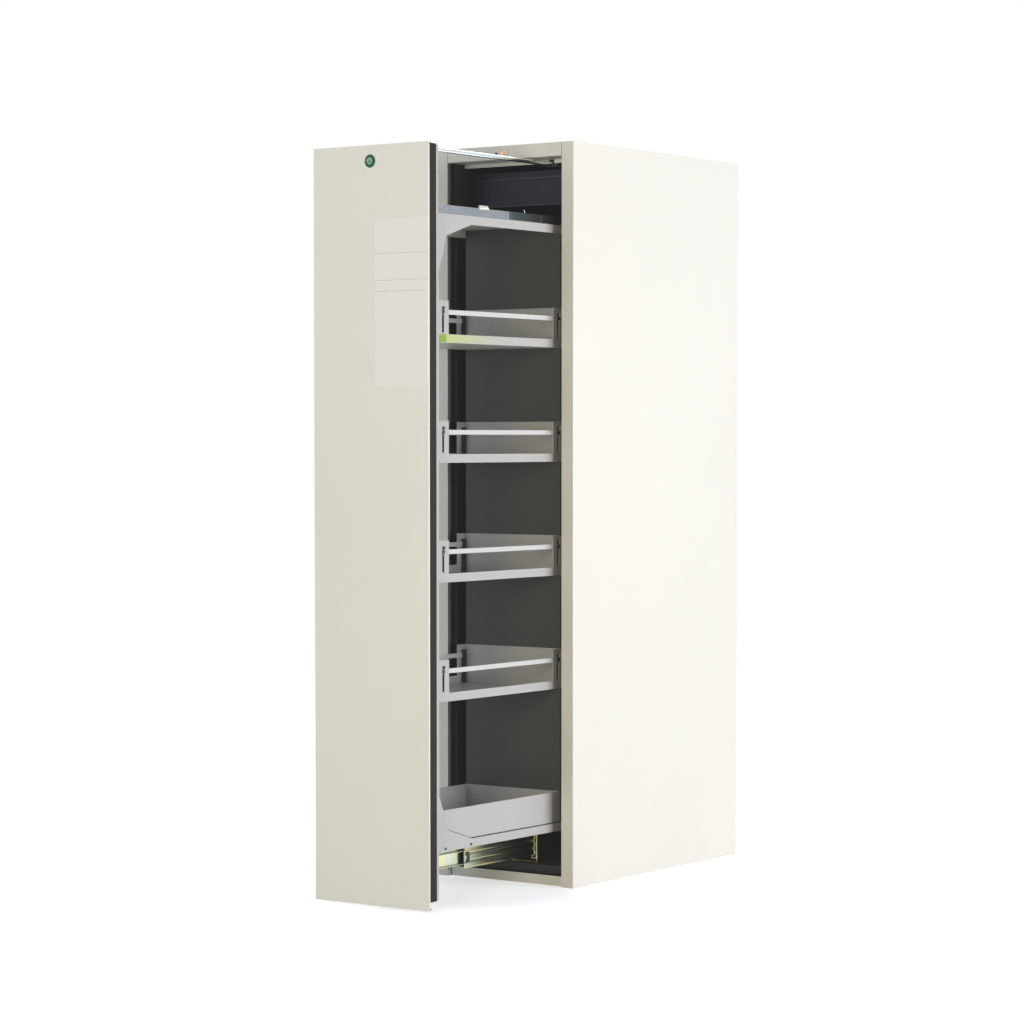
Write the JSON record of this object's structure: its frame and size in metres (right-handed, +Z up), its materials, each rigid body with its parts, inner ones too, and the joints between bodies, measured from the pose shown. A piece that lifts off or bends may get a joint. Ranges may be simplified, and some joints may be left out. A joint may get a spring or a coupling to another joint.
{
  "type": "flammable safety cabinet",
  "caption": "Tall narrow fire-resistant cabinet with a full-height pull-out drawer on telescopic slides, carrying tray shelves with guard rails over a sump tray.",
  "frame": {"origin": "centre of the carcass's footprint, on the floor", "axes": "+Z up, +X to the right as seen from the front, -Y out of the door's face; the stored pose is the pictured one, with the drawer drawn out 575 mm"},
  "size_m": [0.45, 1.408, 1.982],
  "materials": {
    "casing_paint": "satin powder coat",
    "fire_board": "matte coated mineral board",
    "seal_strip": "matte",
    "rubber": "matte",
    "drawer_paint": "satin powder coat",
    "rail_paint": "satin powder coat",
    "rear_paint": "satin powder coat",
    "housing_paint": "satin powder coat",
    "yellow_zinc": "yellow passivated zinc",
    "galvanised": "galvanised",
    "ball_steel": "polished",
    "black_plastic": "matte",
    "label_sheet": "blank matte sheet",
    "lock_green": "gloss",
    "lock_metal": "satin",
    "catch_metal": "satin"
  },
  "bodies": {
    "cabinet": {"left_side_panel": "casing_paint", "right_side_panel": "casing_paint", "top_panel": "casing_paint", "base_pan": "casing_paint", "back_panel": "casing_paint", "top_fire_board": "fire_board", "floor_fire_board": "fire_board", "back_fire_board": "fire_board", "left_fire_board": "fire_board", "right_fire_board": "fire_board", "frame_seals": "seal_strip", "levelling_feet": "rubber", "exhaust_spigot": "galvanised", "supply_spigot": "galvanised", "exhaust_duct": "galvanised", "closer_housing": "housing_paint", "bar_guide": "black_plastic", "slide_bracket_left": "yellow_zinc", "slide_bracket_right": "yellow_zinc", "slide_outers": "yellow_zinc", "top_catch": "catch_metal", "slide_buffer": "rubber"},
    "drawer": {"door_skin": "casing_paint", "door_fire_board": "fire_board", "door_inner_pan": "drawer_paint", "door_seal": "seal_strip", "door_label": "label_sheet", "lock_rosette": "lock_green", "lock_case": "galvanised", "front_column": "drawer_paint", "rear_panel": "rear_paint", "top_beam": "drawer_paint", "top_rail_left": "galvanised", "top_rail_right": "galvanised", "bottom_beam": "drawer_paint", "bottom_tray": "drawer_paint", "slide_carrier": "yellow_zinc", "slide_inners": "yellow_zinc", "shelf_1": "drawer_paint", "shelf_2": "drawer_paint", "shelf_3": "drawer_paint", "shelf_4": "drawer_paint", "guide_bar": "galvanised"},
    "slide_middle": {"slide_middle_left": "yellow_zinc", "slide_middle_right": "yellow_zinc", "slide_end_stops": "black_plastic"},
    "outer_cages": {"outer_ball_cages": "ball_steel"},
    "inner_cages": {"inner_ball_cages": "ball_steel"},
    "exhaust_damper": {"exhaust_damper": "galvanised"},
    "supply_damper": {"supply_damper": "galvanised"},
    "lock_cylinder": {"lock_cylinder": "lock_metal"},
    "lock_bolt": {"lock_bolt": "galvanised"},
    "guard_rail_1_left": {"guard_rail_1_left": "rail_paint"},
    "guard_rail_1_right": {"guard_rail_1_right": "rail_paint"},
    "guard_rail_2_left": {"guard_rail_2_left": "rail_paint"},
    "guard_rail_2_right": {"guard_rail_2_right": "rail_paint"},
    "guard_rail_3_left": {"guard_rail_3_left": "rail_paint"},
    "guard_rail_3_right": {"guard_rail_3_right": "rail_paint"},
    "guard_rail_4_left": {"guard_rail_4_left": "rail_paint"},
    "guard_rail_4_right": {"guard_rail_4_right": "rail_paint"}
  },
  "joints": [
    {"name": "drawer_slide", "type": "slide", "parent": "cabinet", "child": "drawer", "axis": [0, -1, 0], "range_m": [-0.575, 0.04]},
    {"name": "middle_slide", "type": "slide", "parent": "cabinet", "child": "slide_middle", "axis": [0, -1, 0], "range_m": [-0.2875, 0.02]},
    {"name": "outer_cage_roll", "type": "slide", "parent": "cabinet", "child": "outer_cages", "axis": [0, -1, 0], "range_m": [-0.14375, 0.01]},
    {"name": "inner_cage_roll", "type": "slide", "parent": "cabinet", "child": "inner_cages", "axis": [0, -1, 0], "range_m": [-0.43125, 0.03]},
    {"name": "lock_turn", "type": "hinge", "parent": "drawer", "child": "lock_cylinder", "pos_m": [0, -0.975, 1.882], "axis": [0, -1, 0], "range_deg": [0, 90]},
    {"name": "lock_bolt_slide", "type": "slide", "parent": "drawer", "child": "lock_bolt", "axis": [0, 0, 1], "range_m": [0, 0.02]},
    {"name": "exhaust_damper_turn", "type": "hinge", "parent": "cabinet", "child": "exhaust_damper", "pos_m": [-0.075, 0.3355, 1.945], "axis": [1, 0, 0], "range_deg": [0, 90]},
    {"name": "supply_damper_turn", "type": "hinge", "parent": "cabinet", "child": "supply_damper", "pos_m": [0.075, 0.3355, 1.945], "axis": [1, 0, 0], "range_deg": [0, 90]},
    {"name": "guard_rail_1_left_lift", "type": "slide", "parent": "drawer", "child": "guard_rail_1_left", "axis": [0, 0, 1], "range_m": [-0.047, 0.01]},
    {"name": "guard_rail_1_right_lift", "type": "slide", "parent": "drawer", "child": "guard_rail_1_right", "axis": [0, 0, 1], "range_m": [-0.047, 0.01]},
    {"name": "guard_rail_2_left_lift", "type": "slide", "parent": "drawer", "child": "guard_rail_2_left", "axis": [0, 0, 1], "range_m": [-0.047, 0.01]},
    {"name": "guard_rail_2_right_lift", "type": "slide", "parent": "drawer", "child": "guard_rail_2_right", "axis": [0, 0, 1], "range_m": [-0.047, 0.01]},
    {"name": "guard_rail_3_left_lift", "type": "slide", "parent": "drawer", "child": "guard_rail_3_left", "axis": [0, 0, 1], "range_m": [-0.047, 0.01]},
    {"name": "guard_rail_3_right_lift", "type": "slide", "parent": "drawer", "child": "guard_rail_3_right", "axis": [0, 0, 1], "range_m": [-0.047, 0.01]},
    {"name": "guard_rail_4_left_lift", "type": "slide", "parent": "drawer", "child": "guard_rail_4_left", "axis": [0, 0, 1], "range_m": [-0.047, 0.01]},
    {"name": "guard_rail_4_right_lift", "type": "slide", "parent": "drawer", "child": "guard_rail_4_right", "axis": [0, 0, 1], "range_m": [-0.047, 0.01]}
  ],
  "couplings": [
    {"joint": "middle_slide", "follows": "drawer_slide", "ratio": 0.5},
    {"joint": "outer_cage_roll", "follows": "drawer_slide", "ratio": 0.25},
    {"joint": "inner_cage_roll", "follows": "drawer_slide", "ratio": 0.75},
    {"joint": "lock_bolt_slide", "follows": "lock_turn", "m_per_rad": 0.012732}
  ]
}
